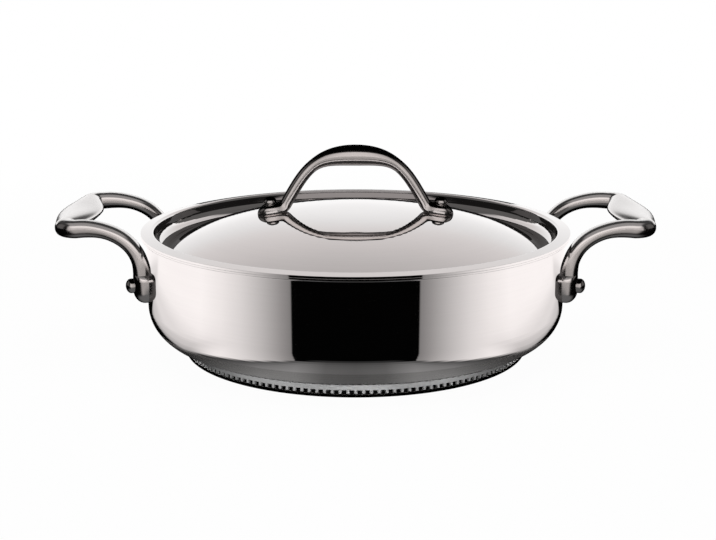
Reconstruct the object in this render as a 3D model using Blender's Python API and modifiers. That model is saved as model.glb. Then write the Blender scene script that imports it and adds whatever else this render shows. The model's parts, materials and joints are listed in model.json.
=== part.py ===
# Braising pan of polished steel: a low round pan on a bonded base, with two riveted side
# handles, and a domed lid that carries a riveted arch handle.
# Origin: centre of the underside of the base. +Z is up, X runs through both side handles.
# Sizes below are in millimetres; the scene is in metres.

import math

import bmesh
import bpy
from mathutils import Matrix, Vector

MM = 0.001

# Clearances
SEAT_GAP = 0.3            # left between two pieces that touch
LID_SIDE_PLAY = 0.8       # lid channel to the inside of the pan wall

# Pan
PAN_INNER_RADIUS = 120.0
PAN_WALL = 3.0
PAN_DEPTH = 59.9          # cooking floor to the top of the rim
PAN_CORNER_RADIUS = 21.4  # outside of the rounded bottom corner
RIM_OVERHANG = 3.0        # how far the rim flares out past the wall
RIM_EDGE = 1.2            # thickness of the flared rim at its edge
RIM_LAND = 1.4            # flat top of the rim
RIM_BREAK = 0.3           # broken edge of the rim
RIM_FLARE_INSIDE = 5.0    # height of the flare inside
RIM_FLARE_OUTSIDE = 1.2   # height of the flare outside

# Base
BASE_RADIUS = 101.6
BASE_BREAK = 0.4
PLATE_THICKNESS = 1.9
CORE_THICKNESS = 5.5
CORE_TEETH = 152
CORE_TOOTH_SHARE = 0.5    # width of a tooth in its pitch
CORE_NOTCH_HEIGHT = 1.9
CORE_NOTCH_DEPTH = 2.2

# Side handles
HANDLE_PROJECTION = 51.0  # outside of the wall to the outer edge of the grip
FOOT_OFFSET = 48.0        # middle of the handle to the middle of a foot
ARM_OFFSET = 44.0         # middle of the handle to the middle of an arm at the elbow
ARM_WIDTH = 12.4
ARM_WIDTH_AT_FOOT = 9.4
ARM_THICKNESS = 8.3
ARM_THICKNESS_AT_FOOT = 9.8
NOSE_THICKNESS = 10.0
ARM_ROUNDNESS = 2.7
ARM_RISE_PULL = 16.5      # how far the arm keeps rising before it leans out
ARM_REACH_PULL = 22.0     # how far it runs level before the elbow
ARM_CREST = 2.2           # how far the arm rises above the grip on its way
ELBOW_RADIUS = 6.8
GRIP_WIDTH = 23.8
GRIP_THICKNESS = 6.8
GRIP_LIFT = 1.0           # the thin middle of the grip sits this much higher
GRIP_BOW = 1.4            # the ends of the grip stand this much further out
GRIP_ROUNDNESS = 2.2
GRIP_ABOVE_RIM = 8.9      # middle of the grip above the rim
FOOT_WIDTH = 15.0
FOOT_HEIGHT = 15.8
FOOT_THICKNESS = 11.0
FOOT_SINK = 1.2           # how far the foot reaches into the wall before it is cut to it
FOOT_END_ROUND = 4.6      # how far the lower end of the foot draws in
FOOT_END_HEIGHT = 6.0     # over this height
FOOT_SHOULDER = 3.4       # height over which the foot narrows to the arm
FOOT_ROUNDNESS = 2.6
FOOT_BELOW_RIM = 16.2     # top of the foot below the rim
FOOT_ARM_STEP = 1.3       # the arm leaves the foot this much further out
ARM_TWIST_END = 0.33      # shares of the way along the arm: it has turned to face the front
ARM_THIN_END = 0.4        # it has its full thinness
ARM_WIDE_END = 0.71       # it has its full width
NOSE_START = 0.67         # it starts to thicken towards the elbow

# Side handle rivets
RIVET_SHANK = 5.0
RIVET_HEAD = 8.2
RIVET_COLLAR = 1.5        # straight edge of the head below its dome
RIVET_DOME = 2.8
RIVET_INNER_HEAD = 11.0
RIVET_INNER_DOME = 2.4
RIVET_ABOVE_FOOT = 9.8    # axis above the bottom of the foot

# Lid
LID_THICKNESS = 1.0
LID_CHANNEL_DEPTH = 9.1   # flange top to the outer edge of the dome
LID_DOME_RISE = 19.5      # outer edge of the dome to its top
LID_DOME_POWER = 2.6
LID_CHANNEL_CORNER = 6.0
LID_FLANGE_CORNER = 1.6
LID_FLANGE_DROOP = 8.0     # degrees that the flange falls outward

# Lid handle
ARCH_ABOVE_DOME = 38.3    # top of the dome to the top of the arch
ARCH_FOOT_RADIUS = 49.6   # middle of the lid to a rivet
ARCH_MIDDLE_WIDTH = 15.5
ARCH_MIDDLE_THICKNESS = 12.0
ARCH_LEG_WIDTH = 10.0
ARCH_LEG_THICKNESS = 7.0
ARCH_ROUNDNESS = 2.5
ARCH_LEG_INSET = 8.6      # rivet axis to the start of the leg
ARCH_LEG_RISE = 4.9       # start of the leg above the dome
ARCH_LEG_LEAN = 29.0      # degrees from upright
ARCH_LEG_PULL = 25.0
ARCH_TOP_PULL = 24.0
LUG_LENGTH = 16.6
LUG_WIDTH = 15.2
LUG_THICKNESS = 6.0
LUG_SINK = 1.0            # how far the lug reaches into the dome before it is cut to it
LUG_ROUNDNESS = 3.2
LUG_END_THINNESS = 0.2    # share of the lug's thickness that is left at its round end
BEND_PULL = 0.4           # share of the bend's length that it runs on in either direction
ARCH_SWELL_START = 0.45   # share of the way up the leg at which it starts to swell

# Lid rivets
LID_RIVET_SHANK = 4.0
LID_RIVET_HEAD = 7.8
LID_RIVET_COLLAR = 0.8
LID_RIVET_DOME = 3.0
LID_RIVET_INNER_HEAD = 9.0
LID_RIVET_INNER_DOME = 1.8

# Mesh fineness, with angles in degrees
TURN_STEPS = 64
RIVET_STEPS = 12
RIVET_DOME_STEPS = 3
CORNER_STEPS = 5
FLARE_STEPS = 3
FLANGE_CORNER_STEPS = 2
SECTION_POINTS = 12
FOOT_END_ANGLES = (0.0, 30.0, 60.0, 90.0)
LUG_END_ANGLES = (20.0, 40.0, 65.0, 90.0)
SHOULDER_ANGLES = (0.0, 30.0, 60.0)
BEND_SHARES = (0.25, 0.5, 0.75)
DOME_STEPS = 8
ARM_STEPS = 9
ELBOW_STEPS = 5
GRIP_STEPS = 5
ARCH_STEPS = 10
EDGE_ROUNDS = 8           # rounds in which the dome's edge settles
MERGE = 0.0001
OVERSHOOT = 5.0           # how far a cutter runs past what it cuts

# Levels and radii that follow from the sizes above
CORE_BOTTOM = PLATE_THICKNESS + SEAT_GAP
CORE_TOP = CORE_BOTTOM + CORE_THICKNESS
PAN_BOTTOM = CORE_TOP + SEAT_GAP
PAN_FLOOR = PAN_BOTTOM + PAN_WALL
RIM_TOP = PAN_FLOOR + PAN_DEPTH
PAN_OUTER_RADIUS = PAN_INNER_RADIUS + PAN_WALL
RIM_RADIUS = PAN_OUTER_RADIUS + RIM_OVERHANG
LID_FLANGE_TOP = RIM_TOP + SEAT_GAP + LID_THICKNESS
LID_CHANNEL_RADIUS = PAN_INNER_RADIUS - LID_SIDE_PLAY - LID_THICKNESS
LID_DOME_TOP = LID_FLANGE_TOP - LID_CHANNEL_DEPTH + LID_DOME_RISE
FOOT_RADIUS = PAN_OUTER_RADIUS + (FOOT_THICKNESS - FOOT_SINK) / 2.0
FOOT_ANGLE = math.asin(FOOT_OFFSET / FOOT_RADIUS)
FOOT_TOP = RIM_TOP - FOOT_BELOW_RIM
FOOT_BOTTOM = FOOT_TOP - FOOT_HEIGHT
RIVET_LEVEL = FOOT_BOTTOM + RIVET_ABOVE_FOOT
# A flat facet of a turned wall stands at this share of the radius from the axis
FACET_SHARE = math.cos(math.pi / TURN_STEPS)


def clear_scene():
    for item in list(bpy.data.objects):
        bpy.data.objects.remove(item, do_unlink=True)


def collection(name):
    group = bpy.data.collections.new(name)
    bpy.context.scene.collection.children.link(group)
    return group


def metal(name, colour, roughness):
    mat = bpy.data.materials.new(name)
    mat.use_nodes = True
    shader = mat.node_tree.nodes["Principled BSDF"]
    shader.inputs["Base Color"].default_value = (*colour, 1.0)
    shader.inputs["Metallic"].default_value = 1.0
    shader.inputs["Roughness"].default_value = roughness
    mat.diffuse_color = (*colour, 1.0)
    return mat


def add_object(name, mesh, group, mat=None):
    item = bpy.data.objects.new(name, mesh)
    group.objects.link(item)
    if mat:
        mesh.materials.append(mat)
    mesh.shade_smooth()
    return item


def as_cutter(item):
    item.hide_render = True
    item.display_type = "WIRE"
    return item


def cut(item, cutter):
    boolean = item.modifiers.new(cutter.name, "BOOLEAN")
    boolean.operation = "DIFFERENCE"
    boolean.object = cutter


def arc(centre, radii, start, end, steps):
    """Points of an elliptical arc, both ends included; angles in degrees."""
    points = []
    for step in range(steps + 1):
        angle = math.radians(start + (end - start) * step / steps)
        points.append((centre[0] + radii[0] * math.cos(angle),
                       centre[1] + radii[1] * math.sin(angle)))
    return points


def turned(name, profile, group, mat=None, steps=TURN_STEPS):
    """Revolve a profile of (radius, height) points in millimetres about Z."""
    mesh = bpy.data.meshes.new(name)
    points = [(radius * MM, 0.0, height * MM) for radius, height in profile]
    mesh.from_pydata(points, [(i, i + 1) for i in range(len(points) - 1)], [])
    item = add_object(name, mesh, group, mat)
    screw = item.modifiers.new("turn", "SCREW")
    screw.steps = steps
    screw.render_steps = steps
    screw.use_merge_vertices = True
    screw.merge_threshold = MERGE
    return item


def bezier(points, share):
    """Place and direction at a share of the way along a cubic curve of four points."""
    start, first, second, end = points
    rest = 1.0 - share
    place = (start * rest ** 3 + first * (3 * rest ** 2 * share)
             + second * (3 * rest * share ** 2) + end * share ** 3)
    direction = ((first - start) * rest ** 2 + (second - first) * (2 * rest * share)
                 + (end - second) * share ** 2)
    return place, direction.normalized()


def mix(low, high, share):
    return low + (high - low) * share


def ease(share, start=0.0, end=1.0):
    """Smooth step from 0 to 1 between two shares of the way."""
    share = min(max((share - start) / (end - start), 0.0), 1.0)
    return share * share * (3.0 - 2.0 * share)


def section(centre, direction, across, half_width, half_thickness, roundness):
    """One ring round a path: a superellipse, wide along across, square to the path."""
    side = (across - direction * across.dot(direction)).normalized()
    rise = direction.cross(side)
    ring = []
    for index in range(SECTION_POINTS):
        angle = 2.0 * math.pi * index / SECTION_POINTS
        wide = math.copysign(abs(math.cos(angle)) ** (2.0 / roundness), math.cos(angle))
        high = math.copysign(abs(math.sin(angle)) ** (2.0 / roundness), math.sin(angle))
        ring.append(centre + side * (wide * half_width) + rise * (high * half_thickness))
    return ring


def half_loft(name, rings, group, mat, axis):
    """Skin a run of rings from a closed end to an open one, and mirror it across an axis."""
    mesh = bpy.data.meshes.new(name)
    shape = bmesh.new()
    rows = [[shape.verts.new(point * MM) for point in ring] for ring in rings]
    for vert in rows[-1]:
        vert.co[axis] = 0.0
    for low, high in zip(rows, rows[1:]):
        for index, vert in enumerate(low):
            after = (index + 1) % SECTION_POINTS
            shape.faces.new((vert, low[after], high[after], high[index]))
    shape.faces.new(rows[0][::-1])
    bmesh.ops.recalc_face_normals(shape, faces=shape.faces)
    shape.to_mesh(mesh)
    shape.free()
    item = add_object(name, mesh, group, mat)
    mirror = item.modifiers.new("other half", "MIRROR")
    mirror.use_axis = [axis == 0, axis == 1, axis == 2]
    mirror.merge_threshold = MERGE
    return item


def along(direction):
    """Rotation that turns +Z to a direction."""
    return direction.to_track_quat("Z", "Y").to_matrix().to_4x4()


def drill(name, radius, place, direction, reach, group):
    """A round cutter that runs both ways from a place."""
    mesh = bpy.data.meshes.new(name)
    shape = bmesh.new()
    bmesh.ops.create_cone(shape, cap_ends=True, segments=RIVET_STEPS, radius1=radius * MM,
                          radius2=radius * MM, depth=2.0 * reach * MM)
    shape.to_mesh(mesh)
    shape.free()
    item = add_object(name, mesh, group)
    item.matrix_world = Matrix.Translation(place * MM) @ along(direction)
    return as_cutter(item)


def rivet(name, place, direction, grip, sizes, group, mat):
    """A rivet along a direction. Its grip is the stretch between the two heads."""
    shank, head, collar, dome, inner_head, inner_dome = sizes
    profile = arc((0.0, grip[1] + collar), (head / 2.0, dome), 90.0, 0.0, RIVET_DOME_STEPS)
    profile[0] = (0.0, grip[1] + collar + dome)
    profile.append((head / 2.0, grip[1]))
    profile.append((shank / 2.0, grip[1]))
    profile.append((shank / 2.0, grip[0]))
    profile += arc((0.0, grip[0]), (inner_head / 2.0, inner_dome), 0.0, -90.0, RIVET_DOME_STEPS)
    profile[-1] = (0.0, grip[0] - inner_dome)
    item = turned(name, profile, group, mat, RIVET_STEPS)
    item.matrix_world = Matrix.Translation(place * MM) @ along(direction)
    return item


def pan_profile():
    """Cross-section of the pan from the middle of its floor, over the rim, to its underside."""
    inner_corner = PAN_CORNER_RADIUS - PAN_WALL
    corner_middle = (PAN_OUTER_RADIUS - PAN_CORNER_RADIUS, PAN_BOTTOM + PAN_CORNER_RADIUS)
    flare_in = RIM_RADIUS - RIM_LAND - PAN_INNER_RADIUS
    flare_out = RIM_OVERHANG - RIM_BREAK
    edge_bottom = RIM_TOP - RIM_EDGE
    profile = [(0.0, PAN_FLOOR)]
    profile += arc(corner_middle, (inner_corner, inner_corner), -90.0, 0.0, CORNER_STEPS)
    profile += arc((PAN_INNER_RADIUS + flare_in, RIM_TOP - RIM_FLARE_INSIDE),
                   (flare_in, RIM_FLARE_INSIDE), 180.0, 90.0, FLARE_STEPS)
    profile.append((RIM_RADIUS - RIM_BREAK, RIM_TOP))
    profile.append((RIM_RADIUS, RIM_TOP - RIM_BREAK))
    profile.append((RIM_RADIUS, edge_bottom + RIM_BREAK))
    profile += arc((PAN_OUTER_RADIUS + flare_out, edge_bottom - RIM_FLARE_OUTSIDE),
                   (flare_out, RIM_FLARE_OUTSIDE), 90.0, 180.0, FLARE_STEPS)
    profile += arc(corner_middle, (PAN_CORNER_RADIUS, PAN_CORNER_RADIUS), 0.0, -90.0, CORNER_STEPS)
    profile.append((0.0, PAN_BOTTOM))
    return profile


def rivet_bearings():
    """Name and compass direction of each side handle rivet."""
    return [("handle_rivet_right_front", Vector((math.cos(FOOT_ANGLE), -math.sin(FOOT_ANGLE), 0))),
            ("handle_rivet_right_rear", Vector((math.cos(FOOT_ANGLE), math.sin(FOOT_ANGLE), 0))),
            ("handle_rivet_left_front", Vector((-math.cos(FOOT_ANGLE), -math.sin(FOOT_ANGLE), 0))),
            ("handle_rivet_left_rear", Vector((-math.cos(FOOT_ANGLE), math.sin(FOOT_ANGLE), 0)))]


def make_pan(group, cutters, mat):
    pan = turned("pan_body", pan_profile(), group, mat)
    for name, bearing in rivet_bearings():
        place = bearing * PAN_INNER_RADIUS + Vector((0.0, 0.0, RIVET_LEVEL))
        cut(pan, drill("hole_" + name, RIVET_SHANK / 2.0 + SEAT_GAP, place, bearing,
                       FOOT_THICKNESS + PAN_WALL + OVERSHOOT, cutters))


def disc_profile(radius, bottom, top):
    return [(0.0, top), (radius - BASE_BREAK, top), (radius, top - BASE_BREAK),
            (radius, bottom + BASE_BREAK), (radius - BASE_BREAK, bottom), (0.0, bottom)]


def make_base(group, cutters, plate_mat, core_mat):
    """A steel plate below, and a thick core whose lower edge is notched all the way round."""
    turned("base_plate", disc_profile(BASE_RADIUS, 0.0, PLATE_THICKNESS), group, plate_mat)

    core_profile = [(0.0, CORE_TOP), (BASE_RADIUS, CORE_TOP),
                    (BASE_RADIUS, CORE_BOTTOM), (0.0, CORE_BOTTOM)]
    core = turned("base_core", core_profile, group, core_mat, CORE_TEETH)
    pitch = 2.0 * math.pi / CORE_TEETH
    width = BASE_RADIUS * pitch * (1.0 - CORE_TOOTH_SHARE)
    notch = Vector((CORE_NOTCH_DEPTH + OVERSHOOT, width, CORE_NOTCH_HEIGHT + OVERSHOOT))
    middle = Vector((BASE_RADIUS - CORE_NOTCH_DEPTH + notch.x / 2.0, 0.0,
                     CORE_BOTTOM + CORE_NOTCH_HEIGHT - notch.z / 2.0))
    mesh = bpy.data.meshes.new("core_notches")
    shape = bmesh.new()
    for index in range(CORE_TEETH):
        turn = Matrix.Rotation(pitch * index, 4, "Z")
        size = Matrix.Diagonal((*(notch * MM), 1.0))
        bmesh.ops.create_cube(shape, size=1.0, matrix=turn @ Matrix.Translation(middle * MM) @ size)
    shape.to_mesh(mesh)
    shape.free()
    cut(core, as_cutter(add_object("core_notches", mesh, cutters)))


def side_handle_rings():
    """Front half of the right handle, from the lower end of its foot to the middle of the grip."""
    rings = []
    up = Vector((0.0, 0.0, 1.0))
    radial = Vector((math.cos(FOOT_ANGLE), -math.sin(FOOT_ANGLE), 0.0))
    tangent = Vector((-math.sin(FOOT_ANGLE), -math.cos(FOOT_ANGLE), 0.0))
    front = Vector((0.0, -1.0, 0.0))
    foot_half = (FOOT_THICKNESS + FOOT_SINK) / 2.0
    foot_middle = radial * FOOT_RADIUS

    # The foot stands upright against the wall, with rounded ends
    for angle in FOOT_END_ANGLES:
        inset = FOOT_END_ROUND * (1.0 - math.sin(math.radians(angle)))
        level = FOOT_BOTTOM + FOOT_END_HEIGHT * (1.0 - math.cos(math.radians(angle)))
        rings.append(section(foot_middle + up * level, up, tangent,
                             FOOT_WIDTH / 2.0 - inset, foot_half - inset, FOOT_ROUNDNESS))
    for angle in SHOULDER_ANGLES:
        turn = math.radians(angle)
        inset = 1.0 - math.cos(turn)
        level = FOOT_TOP - FOOT_SHOULDER * (1.0 - math.sin(turn))
        rings.append(section(foot_middle + radial * FOOT_ARM_STEP * inset + up * level, up, tangent,
                             mix(FOOT_WIDTH, ARM_WIDTH_AT_FOOT, inset) / 2.0,
                             mix(foot_half, ARM_THICKNESS_AT_FOOT / 2.0, inset), FOOT_ROUNDNESS))

    # The arm rises from the foot and leans out until it runs level
    grip_level = RIM_TOP + GRIP_ABOVE_RIM
    grip_line = PAN_OUTER_RADIUS + HANDLE_PROJECTION - GRIP_WIDTH / 2.0
    elbow = Vector((grip_line + GRIP_BOW - ELBOW_RADIUS, -(ARM_OFFSET - ELBOW_RADIUS), grip_level))
    start = radial * (FOOT_RADIUS + FOOT_ARM_STEP) + up * FOOT_TOP
    end = elbow + front * ELBOW_RADIUS
    curve = (start, start + up * ARM_RISE_PULL, end + Vector((-ARM_REACH_PULL, 0.0, ARM_CREST)), end)
    for step in range(ARM_STEPS + 1):
        share = step / ARM_STEPS
        place, direction = bezier(curve, share)
        across = tangent.lerp(front, ease(share, 0.0, ARM_TWIST_END))
        width = mix(ARM_WIDTH_AT_FOOT, ARM_WIDTH, ease(share, 0.0, ARM_WIDE_END))
        thickness = mix(ARM_THICKNESS_AT_FOOT, ARM_THICKNESS, ease(share, 0.0, ARM_THIN_END))
        thickness = mix(thickness, NOSE_THICKNESS, ease(share, NOSE_START))
        rings.append(section(place, direction, across, width / 2.0, thickness / 2.0, ARM_ROUNDNESS))

    # The elbow turns the arm into the grip
    for step in range(1, ELBOW_STEPS + 1):
        share = step / ELBOW_STEPS
        angle = math.pi / 2.0 * share
        across = Vector((math.sin(angle), -math.cos(angle), 0.0))
        direction = Vector((math.cos(angle), math.sin(angle), 0.0))
        rings.append(section(elbow + across * ELBOW_RADIUS, direction, across, ARM_WIDTH / 2.0,
                             NOSE_THICKNESS / 2.0, mix(ARM_ROUNDNESS, GRIP_ROUNDNESS, share)))

    # The grip widens to a broad thumb rest at the middle of the handle
    outward = Vector((1.0, 0.0, 0.0))
    for step in range(1, GRIP_STEPS + 1):
        share = step / GRIP_STEPS
        swell = math.sin(share * math.pi / 2.0)
        place = Vector((grip_line + GRIP_BOW * (1.0 - swell), elbow.y * (1.0 - share),
                        grip_level + GRIP_LIFT * ease(share)))
        width = mix(ARM_WIDTH, GRIP_WIDTH, swell)
        thickness = mix(NOSE_THICKNESS, GRIP_THICKNESS, ease(share))
        rings.append(section(place, -front, outward, width / 2.0, thickness / 2.0, GRIP_ROUNDNESS))
    return rings


def make_side_handles(group, cutters, handle_mat, rivet_mat):
    wall = as_cutter(turned("wall_clearance", [
        (0.0, FOOT_TOP + OVERSHOOT), (PAN_OUTER_RADIUS + SEAT_GAP, FOOT_TOP + OVERSHOOT),
        (PAN_OUTER_RADIUS + SEAT_GAP, FOOT_BOTTOM - OVERSHOOT), (0.0, FOOT_BOTTOM - OVERSHOOT)], cutters))
    holes = {}
    for name, bearing in rivet_bearings():
        place = bearing * FOOT_RADIUS + Vector((0.0, 0.0, RIVET_LEVEL))
        holes[name] = drill("foot_" + name, RIVET_SHANK / 2.0 + SEAT_GAP, place, bearing,
                            FOOT_THICKNESS + OVERSHOOT, cutters)
    for side, turn in (("right", 0.0), ("left", math.pi)):
        handle = half_loft("handle_" + side, side_handle_rings(), group, handle_mat, 1)
        handle.rotation_euler.z = turn
        cut(handle, wall)
        for name in holes:
            if side in name:
                cut(handle, holes[name])

    # The inner head lies flat against the facets of the wall, the outer head on the foot
    inner_seat = (PAN_INNER_RADIUS * FACET_SHARE - SEAT_GAP
                  - (RIVET_INNER_HEAD / 2.0) ** 2 / (2.0 * PAN_INNER_RADIUS))
    outer_seat = PAN_OUTER_RADIUS + FOOT_THICKNESS + SEAT_GAP
    sizes = (RIVET_SHANK, RIVET_HEAD, RIVET_COLLAR, RIVET_DOME, RIVET_INNER_HEAD, RIVET_INNER_DOME)
    for name, bearing in rivet_bearings():
        rivet(name, Vector((0.0, 0.0, RIVET_LEVEL)), bearing, (inner_seat, outer_seat), sizes,
              group, rivet_mat)


def dome_edge():
    """Radius where the dome runs into the rounded channel, and its slope there."""
    radius = LID_CHANNEL_RADIUS
    for _ in range(EDGE_ROUNDS):
        slope = math.atan(LID_DOME_POWER * LID_DOME_RISE / radius)
        radius = LID_CHANNEL_RADIUS - LID_CHANNEL_CORNER * (1.0 + math.sin(slope))
    return radius, slope


def dome_height(radius):
    return LID_DOME_TOP - LID_DOME_RISE * (radius / dome_edge()[0]) ** LID_DOME_POWER


def dome_slope(radius):
    """Angle by which the dome falls outward at a radius."""
    edge = dome_edge()[0]
    return math.atan(LID_DOME_RISE * LID_DOME_POWER / edge * (radius / edge) ** (LID_DOME_POWER - 1.0))


def dome_points(count=DOME_STEPS):
    edge = dome_edge()[0]
    radii = [edge * step / DOME_STEPS for step in range(count + 1)]
    return [(radius, dome_height(radius)) for radius in radii]


def flange_corner_middle():
    """Middle of the bend from the channel wall to the flange, as (radius, height)."""
    droop = math.radians(LID_FLANGE_DROOP)
    radius = LID_CHANNEL_RADIUS + LID_FLANGE_CORNER
    run = RIM_RADIUS - radius - LID_FLANGE_CORNER * math.sin(droop)
    return radius, LID_FLANGE_TOP + run * math.tan(droop) - LID_FLANGE_CORNER * math.cos(droop)


def make_lid(group, cutters, mat):
    edge, slope = dome_edge()
    corner_middle = (LID_CHANNEL_RADIUS - LID_CHANNEL_CORNER,
                     dome_height(edge) + LID_CHANNEL_CORNER * math.cos(slope))
    profile = dome_points()
    profile += arc(corner_middle, (LID_CHANNEL_CORNER, LID_CHANNEL_CORNER),
                   -90.0 - math.degrees(slope), 0.0, CORNER_STEPS)[1:]
    profile += arc(flange_corner_middle(), (LID_FLANGE_CORNER, LID_FLANGE_CORNER),
                   180.0, 90.0 - LID_FLANGE_DROOP, FLANGE_CORNER_STEPS)
    profile.append((RIM_RADIUS, LID_FLANGE_TOP))
    lid = turned("lid_shell", profile, group, mat)
    shell = lid.modifiers.new("sheet", "SOLIDIFY")
    shell.thickness = LID_THICKNESS * MM
    shell.offset = -1.0
    shell.use_even_offset = True
    for name, place, normal in lid_rivet_places():
        cut(lid, drill("hole_" + name, LID_RIVET_SHANK / 2.0 + SEAT_GAP, place, normal,
                       LUG_THICKNESS + OVERSHOOT, cutters))


def lid_rivet_places():
    """Name of each lid rivet, where its axis meets the dome, and the dome's direction there."""
    slope = dome_slope(ARCH_FOOT_RADIUS)
    height = dome_height(ARCH_FOOT_RADIUS)
    places = []
    for name, side in (("lid_rivet_right", 1.0), ("lid_rivet_left", -1.0)):
        places.append((name, Vector((side * ARCH_FOOT_RADIUS, 0.0, height)),
                       Vector((side * math.sin(slope), 0.0, math.cos(slope)))))
    return places


def arch_rings():
    """Right half of the lid handle, from the outer end of its lug to the top of the arch."""
    rings = []
    _, place, normal = lid_rivet_places()[0]
    inward = Vector((-normal.z, 0.0, normal.x))
    across = Vector((0.0, 1.0, 0.0))
    half_width = LUG_WIDTH / 2.0
    half_thickness = (LUG_THICKNESS + LUG_SINK) / 2.0
    lug_middle = place + normal * (LUG_THICKNESS - half_thickness)

    # The lug is round at its outer end, and its top slopes down to the dome there
    for angle in LUG_END_ANGLES:
        reach = LUG_LENGTH / 2.0 - half_width + half_width * math.cos(math.radians(angle))
        swell = math.sin(math.radians(angle))
        thin = half_thickness * mix(LUG_END_THINNESS, 1.0, swell)
        spot = lug_middle - inward * reach - normal * (half_thickness - thin)
        rings.append(section(spot, inward, across, half_width * swell, thin, LUG_ROUNDNESS))

    # A short bend joins the lug to the leg
    lean = math.radians(ARCH_LEG_LEAN)
    leg_direction = Vector((-math.sin(lean), 0.0, math.cos(lean)))
    leg_radius = ARCH_FOOT_RADIUS - ARCH_LEG_INSET
    leg_start = Vector((leg_radius, 0.0, dome_height(leg_radius) + ARCH_LEG_RISE))
    bend_start = lug_middle + inward * (LUG_LENGTH / 2.0 - half_width)
    pull = (leg_start - bend_start).length * BEND_PULL
    bend = (bend_start, bend_start + inward * pull, leg_start - leg_direction * pull, leg_start)
    for share in BEND_SHARES:
        spot, direction = bezier(bend, share)
        rings.append(section(spot, direction, across,
                             mix(half_width, ARCH_LEG_WIDTH / 2.0, ease(share)),
                             mix(half_thickness, ARCH_LEG_THICKNESS / 2.0, share), LUG_ROUNDNESS))

    # The leg leans in and swells into the thick middle of the arch
    top = Vector((0.0, 0.0, LID_DOME_TOP + ARCH_ABOVE_DOME - ARCH_MIDDLE_THICKNESS / 2.0))
    curve = (leg_start, leg_start + leg_direction * ARCH_LEG_PULL,
             top + Vector((ARCH_TOP_PULL, 0.0, 0.0)), top)
    for step in range(ARCH_STEPS + 1):
        share = step / ARCH_STEPS
        spot, direction = bezier(curve, share)
        swell = ease(share, ARCH_SWELL_START)
        rings.append(section(spot, direction, across,
                             mix(ARCH_LEG_WIDTH, ARCH_MIDDLE_WIDTH, swell) / 2.0,
                             mix(ARCH_LEG_THICKNESS, ARCH_MIDDLE_THICKNESS, swell) / 2.0,
                             ARCH_ROUNDNESS))
    return rings


def make_lid_handle(group, cutters, handle_mat, rivet_mat):
    handle = half_loft("lid_handle", arch_rings(), group, handle_mat, 0)

    # The lugs are cut to the dome they stand on
    dome = [(radius, height + SEAT_GAP) for radius, height in dome_points(DOME_STEPS - 2)]
    floor = LID_DOME_TOP - LID_DOME_RISE - OVERSHOOT
    cut(handle, as_cutter(turned("dome_clearance", dome + [(dome[-1][0], floor), (0.0, floor)], cutters)))

    # The sheet's facets sag this much below the true dome
    ring_width = dome_edge()[0] / DOME_STEPS
    slope_change = dome_slope(ARCH_FOOT_RADIUS + ring_width) - dome_slope(ARCH_FOOT_RADIUS)
    sag = ring_width * slope_change / 8.0
    grip = (-LID_THICKNESS - SEAT_GAP - sag, LUG_THICKNESS + SEAT_GAP)
    sizes = (LID_RIVET_SHANK, LID_RIVET_HEAD, LID_RIVET_COLLAR, LID_RIVET_DOME,
             LID_RIVET_INNER_HEAD, LID_RIVET_INNER_DOME)
    for name, place, normal in lid_rivet_places():
        cut(handle, drill("lug_" + name, LID_RIVET_SHANK / 2.0 + SEAT_GAP, place, normal,
                          LUG_THICKNESS + OVERSHOOT, cutters))
        rivet(name, place, normal, grip, sizes, group, rivet_mat)


def build():
    clear_scene()
    group = collection("braising_pan")
    cutters = collection("cutters")
    polished = metal("polished_steel", (0.80, 0.78, 0.77), 0.06)
    cast = metal("cast_steel", (0.60, 0.58, 0.57), 0.16)
    turned_steel = metal("rivet_steel", (0.66, 0.65, 0.64), 0.12)
    plate = metal("plate_steel", (0.42, 0.42, 0.42), 0.30)
    aluminium = metal("core_aluminium", (0.70, 0.70, 0.70), 0.45)
    make_pan(group, cutters, polished)
    make_base(group, cutters, plate, aluminium)
    make_side_handles(group, cutters, cast, turned_steel)
    make_lid(group, cutters, polished)
    make_lid_handle(group, cutters, cast, turned_steel)


build()
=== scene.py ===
# Looks of the braising pan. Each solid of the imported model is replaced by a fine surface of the
# same shape, so that the polished steel reflects cleanly.
# Sizes are in millimetres, and the scene is in metres.
import json
import math

import bmesh
import bpy
from mathutils import Matrix, Vector

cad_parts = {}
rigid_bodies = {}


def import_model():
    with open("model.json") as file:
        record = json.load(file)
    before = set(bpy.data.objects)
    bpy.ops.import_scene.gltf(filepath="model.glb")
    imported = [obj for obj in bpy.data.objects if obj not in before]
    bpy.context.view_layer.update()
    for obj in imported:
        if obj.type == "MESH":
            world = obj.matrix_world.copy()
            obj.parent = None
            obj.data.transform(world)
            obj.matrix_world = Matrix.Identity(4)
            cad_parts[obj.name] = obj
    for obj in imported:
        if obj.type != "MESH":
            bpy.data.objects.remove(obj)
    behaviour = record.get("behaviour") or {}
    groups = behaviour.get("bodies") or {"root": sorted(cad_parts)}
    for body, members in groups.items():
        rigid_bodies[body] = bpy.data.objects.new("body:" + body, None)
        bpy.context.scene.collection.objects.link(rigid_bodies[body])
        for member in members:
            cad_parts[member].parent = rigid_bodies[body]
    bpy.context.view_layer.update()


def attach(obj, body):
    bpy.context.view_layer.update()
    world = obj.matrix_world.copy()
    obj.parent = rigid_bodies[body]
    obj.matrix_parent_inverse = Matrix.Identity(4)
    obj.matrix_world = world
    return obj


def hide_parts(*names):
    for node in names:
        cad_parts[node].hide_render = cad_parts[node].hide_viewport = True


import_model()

MM = 0.001

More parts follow.
